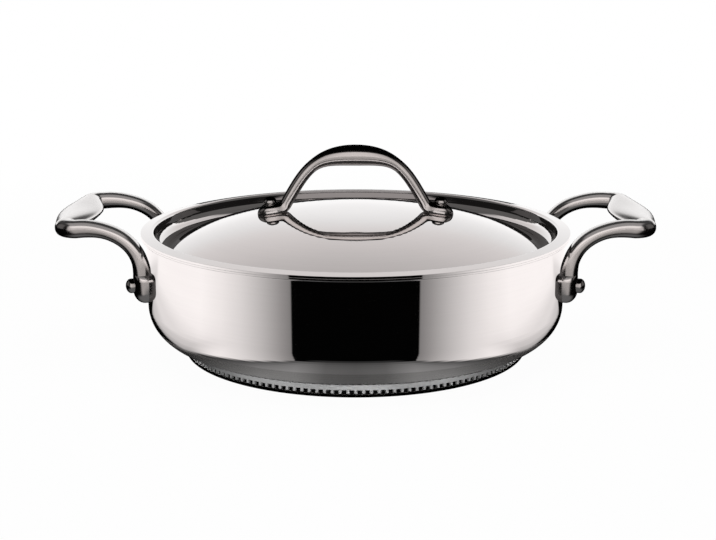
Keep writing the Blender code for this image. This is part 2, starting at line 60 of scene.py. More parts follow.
# Shape of the object, with the values of the solids
SEAT_GAP = 0.3
LID_SIDE_PLAY = 0.8
PAN_INNER_RADIUS = 120.0
PAN_WALL = 3.0
PAN_DEPTH = 59.9
PAN_CORNER_RADIUS = 21.4
RIM_OVERHANG = 3.0
RIM_EDGE = 1.2
RIM_LAND = 1.4
RIM_BREAK = 0.3
RIM_FLARE_INSIDE = 5.0
RIM_FLARE_OUTSIDE = 1.2
BASE_RADIUS = 101.6
BASE_BREAK = 0.4
PLATE_THICKNESS = 1.9
CORE_THICKNESS = 5.5
CORE_TEETH = 152
CORE_TOOTH_SHARE = 0.5
CORE_NOTCH_HEIGHT = 1.9
CORE_NOTCH_DEPTH = 2.2
# Level below the top of a notch, and the share of its depth there
NOTCH_LEVELS = ((0.9, 1.0), (0.55, 0.92), (0.3, 0.72), (0.12, 0.36), (0.0, 0.0), (-0.3, 0.0))
# Level below the top of the core, and how far its edge has drawn in there
CORE_TOP_EDGE = ((0.6, 0.0), (0.25, 0.03), (0.08, 0.12), (0.0, 0.3))
HANDLE_PROJECTION = 51.0
FOOT_OFFSET = 48.0
ARM_OFFSET = 44.0
ARM_WIDTH = 12.4
ARM_WIDTH_AT_FOOT = 9.4
ARM_THICKNESS = 8.3
ARM_THICKNESS_AT_FOOT = 9.8
NOSE_THICKNESS = 10.0
ARM_ROUNDNESS = 2.7
ARM_RISE_PULL = 16.5
ARM_REACH_PULL = 22.0
ARM_CREST = 2.2
ELBOW_RADIUS = 6.8
GRIP_WIDTH = 23.8
GRIP_THICKNESS = 6.8
GRIP_LIFT = 1.0
GRIP_BOW = 1.4
GRIP_ROUNDNESS = 2.2
GRIP_ABOVE_RIM = 8.9
FOOT_WIDTH = 15.0
FOOT_HEIGHT = 15.8
FOOT_THICKNESS = 11.0
FOOT_SINK = 1.2
FOOT_END_ROUND = 4.6
FOOT_END_HEIGHT = 6.0
FOOT_SHOULDER = 3.4
FOOT_ROUNDNESS = 2.6
FOOT_BELOW_RIM = 16.2
FOOT_ARM_STEP = 1.3
ARM_TWIST_END = 0.33
ARM_THIN_END = 0.4
ARM_WIDE_END = 0.71
NOSE_START = 0.67
RIVET_SHANK = 5.0
RIVET_HEAD = 8.2
RIVET_COLLAR = 1.5
RIVET_DOME = 2.8
RIVET_INNER_HEAD = 11.0
RIVET_INNER_DOME = 2.4
RIVET_ABOVE_FOOT = 9.8
RIVET_EDGE = 0.25
LID_THICKNESS = 1.0
LID_CHANNEL_DEPTH = 9.1
LID_DOME_RISE = 19.5
LID_DOME_POWER = 2.6
LID_CHANNEL_CORNER = 6.0
LID_FLANGE_CORNER = 1.6
LID_FLANGE_DROOP = 8.0
ARCH_ABOVE_DOME = 38.3
ARCH_FOOT_RADIUS = 49.6
ARCH_MIDDLE_WIDTH = 15.5
ARCH_MIDDLE_THICKNESS = 12.0
ARCH_LEG_WIDTH = 10.0
ARCH_LEG_THICKNESS = 7.0
ARCH_ROUNDNESS = 2.5
ARCH_LEG_INSET = 8.6
ARCH_LEG_RISE = 4.9
ARCH_LEG_LEAN = 29.0
ARCH_LEG_PULL = 25.0
ARCH_TOP_PULL = 24.0
LUG_LENGTH = 16.6
LUG_WIDTH = 15.2
LUG_THICKNESS = 6.0
LUG_SINK = 1.0
LUG_ROUNDNESS = 3.2
LUG_END_THINNESS = 0.2
BEND_PULL = 0.4
ARCH_SWELL_START = 0.45
LID_RIVET_SHANK = 4.0
LID_RIVET_HEAD = 7.8
LID_RIVET_COLLAR = 0.8
LID_RIVET_DOME = 3.0
LID_RIVET_INNER_HEAD = 9.0
LID_RIVET_INNER_DOME = 1.8

# Levels and radii that follow
CORE_BOTTOM = PLATE_THICKNESS + SEAT_GAP
CORE_TOP = CORE_BOTTOM + CORE_THICKNESS
PAN_BOTTOM = CORE_TOP + SEAT_GAP
PAN_FLOOR = PAN_BOTTOM + PAN_WALL
RIM_TOP = PAN_FLOOR + PAN_DEPTH
PAN_OUTER_RADIUS = PAN_INNER_RADIUS + PAN_WALL
RIM_RADIUS = PAN_OUTER_RADIUS + RIM_OVERHANG
LID_FLANGE_TOP = RIM_TOP + SEAT_GAP + LID_THICKNESS
LID_CHANNEL_RADIUS = PAN_INNER_RADIUS - LID_SIDE_PLAY - LID_THICKNESS
LID_DOME_TOP = LID_FLANGE_TOP - LID_CHANNEL_DEPTH + LID_DOME_RISE
FOOT_RADIUS = PAN_OUTER_RADIUS + (FOOT_THICKNESS - FOOT_SINK) / 2.0
FOOT_ANGLE = math.asin(FOOT_OFFSET / FOOT_RADIUS)
FOOT_TOP = RIM_TOP - FOOT_BELOW_RIM
FOOT_BOTTOM = FOOT_TOP - FOOT_HEIGHT
RIVET_LEVEL = FOOT_BOTTOM + RIVET_ABOVE_FOOT

# Studio. The steel mirrors sheets that glow. Their sizes are in millimetres, and what their nodes
# measure is in metres. In a list, a grey or colour goes with an angle in degrees: round the pan
# from straight ahead of it, or over the pan from the far horizon by way of the zenith to the near
# one. SHADE_EDGE, SHADE_FADE and SHADE_RISE hold millimetres.
NOTHING = (0.0, 0.0, 0.0)
DARK = 0.0003
BLACK = (DARK, DARK, DARK)
WHITE = (1.0, 1.0, 1.0)
PALE = (1.03, 0.998, 0.99)
CEILING = (0.29, 0.28, 0.278)
FLOOR_AHEAD = (0.38, 0.36, 0.35)
ECHO = 0.1                # share of a glow that is left where a mirror shows it in a mirror
SECOND_MIRROR = 1.5       # the ray depth beyond which that is so

HORIZON = ((0, 1.0), (5, 1.0), (12, 0.89), (19, 0.80))
WORLD_GLOW = (*HORIZON, (26, DARK), (180, DARK))
WORLD_SIDES = (0.70, 0.78)

# The floor, in metres. The camera sees it white, with a faint shadow near the pan.
FLOOR_HALF = 6.0
FLOOR_LEVEL = -0.0002
FLOOR_COLOUR = (0.9, 0.9, 0.9)
FLOOR_GREY_START = (0.60, 0.61)
FLOOR_GREY = ((0, FLOOR_AHEAD), (46, FLOOR_AHEAD), (52, DARK))
FLOOR_WHITENS = (0.30, 0.80)
FLOOR_WHITE_SHARES = (0.975, 1.0)

# The floor round the pan as the pan and lid see it
CARD_RADIUS = 600.0
TABLE_RADII = (95.0, 127.0, 160.0, 240.0, CARD_RADIUS)
TABLE_STEPS = 128
TABLE_LIT_CENTRE = 0.0713
TABLE_LIT = ((0, 0.0005), (33.9, 0.0005), (34.5, (0.225, 0.218, 0.216)), (39.7, (0.315, 0.305, 0.302)),
             (50.7, (0.54, 0.524, 0.52)), (61.9, (0.75, 0.728, 0.722)), (73.5, (0.92, 0.89, 0.882)),
             (86, PALE), (180, PALE))
SHADE_REACH = 0.4
# How far out the shade below the overhang goes, and how the light fades in beyond it
SHADE_EDGE = ((0, 164), (11, 164), (18, 158), (24, 149), (31, 140), (37, 135.6), (45, 132), (55, 127),
              (62, 122), (67, 123), (73, 127), (80, 134), (86, 142), (94, 153), (102, 169), (108, 181),
              (112, 193), (116, 300), (136, 127), (180, 127))
SHADE_FADE = ((0, 0.40), (9, 0.50), (14, 0.60), (28, 0.64), (45, 0.77), (63, 0.78), (100, 0.95), (140, 1.0))
SHADE_FADE_START = (45 / 180, 62 / 180)
SHADE_SOFT_EDGE = (-0.004, 0.003)
SHADE_LEVELS = ((0, 0.105), (9, 0.125), (18, 0.25), (30, 0.25), (40, 0.17), (50, 0.10), (60, 0.05),
                (67, 0.001), (180, 0.001))
SHADE_RISE_REACH = 0.1
SHADE_RISE = ((0, 0.25), (15, 0.75), (32, 1.0), (55, 1.0))

# The floor ahead and the panels as the castings and rivets see them
FRONT_HEIGHT = 0.3
FRONT_START = 100.0
FRONT_SPREAD = 100.0
FRONT_STEPS = 48
FRONT_AHEAD = ((0, FLOOR_AHEAD), (34, FLOOR_AHEAD), (50, DARK))
FRONT_BESIDE = ((0, 0.12), (66, 0.12), (84, DARK))
FRONT_AHEAD_START = (0.170, 0.260)

PANEL_DISTANCE = 2200.0
PANEL_SPREAD = 50.0
PANEL_STEPS = 24
PANEL_TOP = math.tan(math.radians(47.0))
PANEL_SOFT_TOP = 0.72
PANEL = (0.65, 0.612, 0.597)
PANEL_LEVELS = ((0, PANEL), (12, PANEL), (34, (0.47, 0.443, 0.432)), (44, (0.40, 0.377, 0.367)),
                (PANEL_SPREAD, DARK), (180, DARK))
SIDE_PANEL = (0.10, 0.095, 0.093)
SIDE_PANEL_HALF = 0.6
SIDE_PANEL_SOFT_END = 0.4
SIDE_PANEL_SOFT_TOP = 0.6

# The sky behind and over the pan, and at its sides
SKY_RADIUS = 40000.0
SKY_END = 166.0
SKY_STEPS = 96
SKY = (*HORIZON, (26, (0.72, 0.70, 0.695)), (30, (0.68, 0.655, 0.65)),
       (40, (0.605, 0.58, 0.575)), (47, (0.545, 0.525, 0.52)), (56, (0.49, 0.47, 0.465)),
       (62, (0.20, 0.19, 0.19)), (66, 0.03), (180, 0.03))
GRIP_SKY_RADIUS = 36000.0
GRIP_SKY = (*HORIZON, (26, 0.04), (66, 0.04), (110, 0.03), (180, 0.03))
CEILING_START = (66 / 180, 76 / 180)
CEILING_SIDES = (0.45, 0.75)
SIDE_SKY_RADIUS = 42000.0
SIDE_SKY = (0.10, 0.097, 0.095)
SIDE_SKY_HALF = 1.2
SIDE_SKY_LEVELS = (0.06, 1.6)
SIDE_SKY_GRADE = ((0.0, SIDE_SKY), (0.45, SIDE_SKY), (1.0, 0.03))

# Sheets that show only by way of two mirrors
CHANNEL_CARD_HALF = 36.0
CHANNEL_CARD_DEPTH = (20.0, 84.0)
CHANNEL_CARD_HEIGHT = 155.0
CHANNEL_CARD_SOFT_END = 0.8
LUG_CARD_REACH = 30000.0
LUG_CARD_HALF = 0.7
LUG_CARD_LEVELS = (-0.2, 0.5)
LUG_CARD_LIGHT = (0.80, 0.775, 0.765)

# Lamps and camera, in metres, degrees and watts. The lens and its sensor are in millimetres.
OVERHEAD_PLACE = (0.0, -0.2, 1.6)
OVERHEAD_SIZE = 1.6
OVERHEAD_POWER = 22.0
LOW_TURNS = {"low_front": 0.0, "low_left": -50.0, "low_right": 50.0}
LOW_DISTANCE = 0.9
LOW_HEIGHT = 0.22
LOW_SIZE = 0.5
LOW_POWER = 3.4
CAMERA_PLACE = (0.0, -0.7858, 0.2338)
CAMERA_TURN = 76.514
CAMERA_LENS = 67.958
CAMERA_SENSOR = 36.0
CAMERA_SHIFT = (0.0035, 0.0007)
CAMERA_CLIP = (0.01, 50.0)

# Fineness
TURN_STEPS = 256
RIVET_STEPS = 48
ARC_STEPS = 12
BREAK_STEPS = 4
PLATE_EDGE_STEPS = 6
FLANGE_STEPS = 10
CORNER_STEPS = 24
OUTER_CORNER_STEPS = 28
DOME_STEPS = 56
DOME_EDGE_ROUNDS = 8
SECTION_POINTS = 56
ARM_STEPS = 44
SHOULDER_STEPS = 6
SHOULDER_TURN = 66.0
ELBOW_STEPS = 16
GRIP_STEPS = 28
ARCH_STEPS = 48
BEND_STEPS = 10
TOOTH_COLUMNS = 12
TOOTH_SOFTNESS = 0.16
NOTCH_SHADE_FROM = 0.45    # share of the notch's depth from which its painted shade starts
SATIN_BELOW_RIM = 0.6
SLOT_MARGIN = 0.1
LID_EDGE_BREAK = 0.02
LID_REST = 0.03
RIM_EDGE_BREAK = 0.03
KEEP_FLAT = 0.12          # a straight run stays straight to within this of its ends
SHARP_ANGLE = 38.0

# Finish of a metal: the scale of its broad patches, and the part of a noise that is spread
PATCH_SCALE = 38.0
NOISE_MIDDLE = (0.3, 0.7)


def mix(low, high, share):
    return low + (high - low) * share


def shares(steps):
    """Even shares from 0 to 1."""
    return [step / steps for step in range(steps + 1)]


def arc(centre, radii, start, end, steps=ARC_STEPS):
    """Points of a round corner, or an oval one with two radii, from one angle in degrees to another."""
    wide, high = radii if isinstance(radii, tuple) else (radii, radii)
    points = []
    for step in range(steps + 1):
        angle = math.radians(start + (end - start) * step / steps)
        points.append((centre[0] + wide * math.cos(angle), centre[1] + high * math.sin(angle)))
    return points


def polar(radius, angle, height):
    return radius * math.cos(angle), radius * math.sin(angle), height


def held_straight(profile):
    """Adds points near both ends of each long run, so that its shading stays straight."""
    points = [profile[0]]
    for start, end in zip(profile, profile[1:]):
        length = math.dist(start, end)
        if length > 4.0 * KEEP_FLAT:
            for share in (KEEP_FLAT / length, 1.0 - KEEP_FLAT / length):
                points.append(tuple(mix(low, high, share) for low, high in zip(start, end)))
        points.append(end)
    return points


def add_to_scene(item):
    bpy.context.scene.collection.objects.link(item)


def finish_mesh(name, shape, mats):
    bmesh.ops.recalc_face_normals(shape, faces=shape.faces)
    mesh = bpy.data.meshes.new(name)
    shape.to_mesh(mesh)
    shape.free()
    for mat in mats:
        mesh.materials.append(mat)
    mesh.shade_smooth()
    mesh.set_sharp_from_angle(angle=math.radians(SHARP_ANGLE))
    piece = bpy.data.objects.new(name, mesh)
    add_to_scene(piece)
    return piece


def turned(name, profile, mats, steps=TURN_STEPS, pick=None):
    """Revolves a profile of (radius, height). pick(radius, height) gives a face its material."""
    profile = held_straight(profile)
    shape = bmesh.new()
    rows = []
    for radius, height in profile:
        if radius < 1e-6:
            rows.append([shape.verts.new((0.0, 0.0, height * MM))])
            continue
        row = []
        for step in range(steps):
            angle = 2.0 * math.pi * step / steps
            row.append(shape.verts.new(polar(radius * MM, angle, height * MM)))
        rows.append(row)
    for number, (low, high) in enumerate(zip(rows, rows[1:])):
        middle = [(a + b) / 2.0 for a, b in zip(profile[number], profile[number + 1])]
        slot = pick(*middle) if pick else 0
        for step in range(steps):
            after = (step + 1) % steps
            corners = [low[step % len(low)], low[after % len(low)],
                       high[after % len(high)], high[step % len(high)]]
            corners = list(dict.fromkeys(corners))
            if len(corners) > 2:
                shape.faces.new(corners).material_index = slot
    return finish_mesh(name, shape, mats)


def bezier(points, share):
    """The place at a share of a curve, and the direction there."""
    start, first, second, end = points
    rest = 1.0 - share
    place = (start * rest ** 3 + first * (3 * rest ** 2 * share)
             + second * (3 * rest * share ** 2) + end * share ** 3)
    direction = ((first - start) * rest ** 2 + (second - first) * (2 * rest * share)
                 + (end - second) * share ** 2)
    return place, direction.normalized()


def ease(share, start=0.0, end=1.0):
    """0 up to start and 1 from end on, smooth between them."""
    share = min(max((share - start) / (end - start), 0.0), 1.0)
    return share * share * (3.0 - 2.0 * share)


def squared(value, roundness):
    """A cosine or sine of a round ring, as it is on a superellipse."""
    return math.copysign(abs(value) ** (2.0 / roundness), value)


def section(centre, direction, across, half_width, half_thickness, roundness):
    """One ring round a path: a superellipse, wide along across, square to the path."""
    side = (across - direction * across.dot(direction)).normalized()
    rise = direction.cross(side)
    ring = []
    for index in range(SECTION_POINTS):
        angle = 2.0 * math.pi * index / SECTION_POINTS
        wide = squared(math.cos(angle), roundness) * half_width
        high = squared(math.sin(angle), roundness) * half_thickness
        ring.append(centre + side * wide + rise * high)
    return ring


def mirrored_loft(name, rings, mats, axis):
    """Skins a run of rings that ends in a plane of symmetry, and the same run beyond it."""
    for point in rings[-1]:
        point[axis] = 0.0
    flip = Vector([-1.0 if axis == index else 1.0 for index in range(3)])
    rings = rings + [[point * flip for point in ring] for ring in rings[-2::-1]]
    shape = bmesh.new()
    rows = [[shape.verts.new(point * MM) for point in ring] for ring in rings]
    for low, high in zip(rows, rows[1:]):
        for index in range(SECTION_POINTS):
            after = (index + 1) % SECTION_POINTS
            shape.faces.new((low[index], low[after], high[after], high[index]))
    for row in (rows[0], rows[-1]):
        shape.faces.new(row)
    return finish_mesh(name, shape, mats)


def rivet(name, place, direction, grip, sizes, mats):
    """A rivet whose heads are at the two ends of its grip."""
    shank, head, collar, dome, inner_head, inner_dome = sizes
    profile = arc((0.0, grip[1] + collar), (head / 2.0, dome), 90.0, 0.0)
    profile[0] = (0.0, grip[1] + collar + dome)
    profile += arc((head / 2.0 - RIVET_EDGE, grip[1] + RIVET_EDGE), RIVET_EDGE, 0.0, -90.0, BREAK_STEPS)
    profile.append((shank / 2.0, grip[1]))
    profile.append((shank / 2.0, grip[0]))
    profile += arc((0.0, grip[0]), (inner_head / 2.0, inner_dome), 0.0, -90.0)
    profile[-1] = (0.0, grip[0] - inner_dome)
    piece = turned(name, profile, mats, RIVET_STEPS)
    turn = direction.to_track_quat("Z", "Y").to_matrix().to_4x4()
    piece.matrix_world = Matrix.Translation(place * MM) @ turn
    return piece


# Nodes

def node(tree, kind, **settings):
    item = tree.nodes.new(kind)
    for name, value in settings.items():
        setattr(item, name, value)
    return item


def feed(tree, socket, value):
    """Links a node's output to a socket, or sets a number or a colour there."""
    if isinstance(value, tuple):
        socket.default_value = (*value, 1.0)
    elif isinstance(value, (int, float)):
        socket.default_value = value
    else:
        tree.links.new(value, socket)


def math_node(tree, operation, first, second=None):
    item = node(tree, "ShaderNodeMath", operation=operation)
    feed(tree, item.inputs[0], first)
    if second is not None:
        feed(tree, item.inputs[1], second)
    return item.outputs[0]


def mix_colour(tree, share, first, second, how="MIX"):
    item = node(tree, "ShaderNodeMix", data_type="RGBA", blend_type=how)
    feed(tree, item.inputs["Factor"], share)
    feed(tree, item.inputs[6], first)
    feed(tree, item.inputs[7], second)
    return item.outputs[2]


def mix_shader(tree, share, first, second):
    item = node(tree, "ShaderNodeMixShader")
    for socket, value in zip(item.inputs, (share, first, second)):
        tree.links.new(value, socket)
    return item.outputs[0]


def product(tree, first, second):
    return mix_colour(tree, 1.0, first, second, "MULTIPLY")


def show(tree, shader, kind="ShaderNodeOutputMaterial"):
    tree.links.new(shader, node(tree, kind).inputs["Surface"])


def ramp_node(tree, value, stops, smooth="LINEAR"):
    """A colour ramp through (position, colour) stops, where a colour is a grey or three parts."""
    item = node(tree, "ShaderNodeValToRGB")
    item.color_ramp.interpolation = smooth
    marks = item.color_ramp.elements
    while len(marks) < len(stops):
        marks.new(0.5)
    for mark, (position, _) in zip(marks, stops):
        mark.position = position
    for mark, (_, colour) in zip(marks, stops):
        parts = (colour, colour, colour) if isinstance(colour, (int, float)) else colour
        mark.color = (*parts, 1.0)
    tree.links.new(value, item.inputs["Fac"])
    return item.outputs["Color"]


def turn_ramp(tree, half_turns, stops, smooth="LINEAR"):
    """A ramp through (degrees, colour) stops."""
    return ramp_node(tree, half_turns, [(angle / 180, colour) for angle, colour in stops], smooth)


def reach_ramp(tree, metres, reach, stops):
    """A ramp through (millimetres, colour) stops, as far as reach in metres."""
    share = math_node(tree, "DIVIDE", metres, reach)
    return ramp_node(tree, share, [(place * MM / reach, colour) for place, colour in stops])


def step_up(tree, value, start, end, low=0.0, high=1.0, curve="SMOOTHSTEP"):
    """low up to start and high from end on, and a slope between them."""
    item = node(tree, "ShaderNodeMapRange", interpolation_type=curve)
    for name, number in (("From Min", start), ("From Max", end), ("To Min", low), ("To Max", high)):
        item.inputs[name].default_value = number
    tree.links.new(value, item.inputs["Value"])
    return item.outputs["Result"]


def step_down(tree, value, start, end):
    return math_node(tree, "SUBTRACT", 1.0, step_up(tree, value, start, end))


def fade_out(tree, colour, value, start, end):
    """A colour that goes dark as a value passes from start to end."""
    return mix_colour(tree, step_up(tree, value, start, end), colour, BLACK)


def vector_of(tree, kind="Object"):
    return node(tree, "ShaderNodeTexCoord").outputs[kind]


def place_of(tree, kind="Object"):
    """x, y and z of a surface, or with Generated of a direction in the world."""
    parts = node(tree, "ShaderNodeSeparateXYZ")
    tree.links.new(vector_of(tree, kind), parts.inputs[0])
    return parts.outputs


def share_of(tree, value, length):
    """How far a coordinate is out on either side, as a share of a length in millimetres."""
    return math_node(tree, "DIVIDE", math_node(tree, "ABSOLUTE", value), length * MM)


def radius_of(tree, x, y):
    squares = [math_node(tree, "MULTIPLY", part, part) for part in (x, y)]
    return math_node(tree, "SQRT", math_node(tree, "ADD", *squares))


# Materials

def noise(tree, vector, scale, detail):
    item = node(tree, "ShaderNodeTexNoise")
    item.inputs["Scale"].default_value = scale
    item.inputs["Detail"].default_value = detail
    tree.links.new(vector, item.inputs["Vector"])
    return item.outputs["Fac"]


def between(tree, value, low, high):
    """Spreads the middle of a noise over low to high."""
    return step_up(tree, value, *NOISE_MIDDLE, low, high, "LINEAR")


def lathe_vector(tree, stretch=0.02):
    """Coordinates that run along a turned surface's profile and hardly round it."""
    x, y, z = place_of(tree)
    joined = node(tree, "ShaderNodeCombineXYZ")
    turned_round = math_node(tree, "MULTIPLY", x, stretch)
    for socket, part in zip(joined.inputs, (radius_of(tree, x, y), z, turned_round)):
        tree.links.new(part, socket)
    return joined.outputs[0]


def metal(name, colour, roughness, scale, marks=0.5, bump=0.0, turned_marks=True, tint=0.03):
    """A metal whose roughness, colour and surface vary a little, with turning or casting marks."""
    mat = bpy.data.materials.new(name)
    mat.use_nodes = True
    mat.diffuse_color = (*colour, 1.0)
    tree = mat.node_tree
    shader = tree.nodes["Principled BSDF"]
    shader.inputs["Metallic"].default_value = 1.0
    vector = lathe_vector(tree) if turned_marks else vector_of(tree)
    fine = noise(tree, vector, scale, detail=3.0)
    broad = noise(tree, vector_of(tree), PATCH_SCALE, detail=2.0)

    deep = tuple(part * (1.0 - tint) for part in colour)
    blend = math_node(tree, "MULTIPLY", math_node(tree, "ADD", fine, broad), 0.5)
    tree.links.new(ramp_node(tree, blend, list(zip(NOISE_MIDDLE, (deep, colour)))),
                   shader.inputs["Base Color"])

    low, high = roughness
    rough = between(tree, fine, low, mix(low, high, marks))
    patch = between(tree, broad, 0.0, (high - low) * (1.0 - marks))
    tree.links.new(math_node(tree, "ADD", rough, patch), shader.inputs["Roughness"])

    if bump:
        relief = node(tree, "ShaderNodeBump")
        relief.inputs["Distance"].default_value = bump * MM
        tree.links.new(fine, relief.inputs["Height"])
        tree.links.new(relief.outputs["Normal"], shader.inputs["Normal"])
    return mat


POLISHED = metal("polished_steel_fine", (0.93, 0.90, 0.895), roughness=(0.02, 0.045), scale=900.0)
SATIN = metal("satin_steel", (0.72, 0.70, 0.69), roughness=(0.20, 0.32), scale=1400.0, marks=0.7,
              bump=0.004)
CAST = metal("cast_steel_fine", (0.90, 0.87, 0.86), roughness=(0.13, 0.20), scale=260.0, marks=0.4,
             bump=0.002, turned_marks=False)
RIVET = metal("rivet_steel_fine", (0.80, 0.78, 0.77), roughness=(0.04, 0.09), scale=900.0)
ALUMINIUM = metal("core_aluminium_fine", (0.78, 0.78, 0.78), roughness=(0.42, 0.55), scale=2600.0,
                  bump=0.02, turned_marks=False, tint=0.12)
# Near-black metal for the deep faces of the notches: painted shade in the recesses
PAINTED_NOTCH_SHADE = metal("core_notch_painted_shade", (0.02, 0.02, 0.02), roughness=(0.50, 0.62), scale=2600.0, bump=0.02,
              turned_marks=False, tint=0.12)
PLATE = metal("plate_steel_fine", (0.60, 0.59, 0.58), roughness=(0.10, 0.18), scale=1600.0, marks=0.7,
              bump=0.004)


# Pieces

def pan_profile():
    """From the middle of the cooking floor, over the rim, to the middle of the underside."""
    corner_middle = (PAN_OUTER_RADIUS - PAN_CORNER_RADIUS, PAN_BOTTOM + PAN_CORNER_RADIUS)
    flare_in = RIM_RADIUS - RIM_LAND - PAN_INNER_RADIUS
    flare_out = RIM_OVERHANG - RIM_BREAK
    edge_bottom = RIM_TOP - RIM_EDGE
    profile = [(0.0, PAN_FLOOR)]
    profile += arc(corner_middle, PAN_CORNER_RADIUS - PAN_WALL, -90.0, 0.0, CORNER_STEPS)
    profile += arc((PAN_INNER_RADIUS + flare_in, RIM_TOP - RIM_FLARE_INSIDE),
                   (flare_in, RIM_FLARE_INSIDE), 180.0, 90.0)
    profile += arc((RIM_RADIUS - RIM_EDGE_BREAK, RIM_TOP - RIM_EDGE_BREAK), RIM_EDGE_BREAK,
                   90.0, 0.0, BREAK_STEPS)
    profile += arc((RIM_RADIUS - RIM_BREAK, edge_bottom + RIM_BREAK), RIM_BREAK,
                   0.0, -90.0, BREAK_STEPS)
    profile += arc((PAN_OUTER_RADIUS + flare_out, edge_bottom - RIM_FLARE_OUTSIDE),
                   (flare_out, RIM_FLARE_OUTSIDE), 90.0, 180.0)[1:]
    profile += arc(corner_middle, PAN_CORNER_RADIUS, 0.0, -90.0, OUTER_CORNER_STEPS)
    profile.append((0.0, PAN_BOTTOM))
    return profile


def pan_slot(radius, height):
    """Satin inside, polished outside."""
    within = radius < PAN_INNER_RADIUS + SLOT_MARGIN
    return 1 if within and PAN_FLOOR - SLOT_MARGIN < height < RIM_TOP - SATIN_BELOW_RIM else 0


def make_pan():
    pan = turned("pan_body_fine", pan_profile(), [POLISHED, SATIN], pick=pan_slot)
    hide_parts("pan_body")
    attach(pan, "pan")


def make_base():
    edge = BASE_RADIUS - BASE_BREAK
    profile = [(0.0, PLATE_THICKNESS)]
    profile += arc((edge, PLATE_THICKNESS - BASE_BREAK), BASE_BREAK, 90.0, 0.0, PLATE_EDGE_STEPS)
    profile += arc((edge, BASE_BREAK), BASE_BREAK, 0.0, -90.0, PLATE_EDGE_STEPS)
    profile.append((0.0, 0.0))
    plate = turned("base_plate_fine", profile, [PLATE])
    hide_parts("base_plate")
    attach(plate, "pan")
    core = make_core()
    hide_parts("base_core")
    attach(core, "pan")


def make_core():
    """The bonded disc: plain above, with rounded notches all the way round its lower edge."""
    columns = CORE_TEETH * TOOTH_COLUMNS
    notch_top = CORE_BOTTOM + CORE_NOTCH_HEIGHT
    outline = [(CORE_BOTTOM, 1.0, 0.0)]
    outline += [(notch_top - drop, depth, 0.0) for drop, depth in NOTCH_LEVELS]
    outline += [(CORE_TOP - drop, 0.0, inset) for drop, inset in CORE_TOP_EDGE]
    open_share = 1.0 - CORE_TOOTH_SHARE
    shape = bmesh.new()
    rows = []
    for level, depth, inset in outline:
        row = []
        for column in range(columns):
            phase = column / TOOTH_COLUMNS % 1.0
            gap = abs(phase - 0.5) * 2.0
            cut = 1.0 - ease(gap, open_share - TOOTH_SOFTNESS, open_share + TOOTH_SOFTNESS)
            radius = BASE_RADIUS - inset - CORE_NOTCH_DEPTH * depth * cut
            angle = 2.0 * math.pi * (column + 0.5) / columns
            row.append(shape.verts.new(polar(radius * MM, angle, level * MM)))
        rows.append(row)
    # Faces deep in a notch take the near-black material: painted shade in the recesses
    painted_shade_below = (BASE_RADIUS - CORE_NOTCH_DEPTH * NOTCH_SHADE_FROM) * MM
    for low, high in zip(rows, rows[1:]):
        for column in range(columns):
            after = (column + 1) % columns
            side = shape.faces.new((low[column], low[after], high[after], high[column]))
            sunk = sum(math.hypot(corner.co.x, corner.co.y) for corner in side.verts) / 4.0
            side.material_index = 1 if sunk < painted_shade_below else 0
    for row, level in ((rows[0], CORE_BOTTOM), (rows[-1], CORE_TOP)):
        middle = shape.verts.new((0.0, 0.0, level * MM))
        for column in range(columns):
            shape.faces.new((row[column], row[(column + 1) % columns], middle))
    return finish_mesh("base_core_fine", shape, [ALUMINIUM, PAINTED_NOTCH_SHADE])


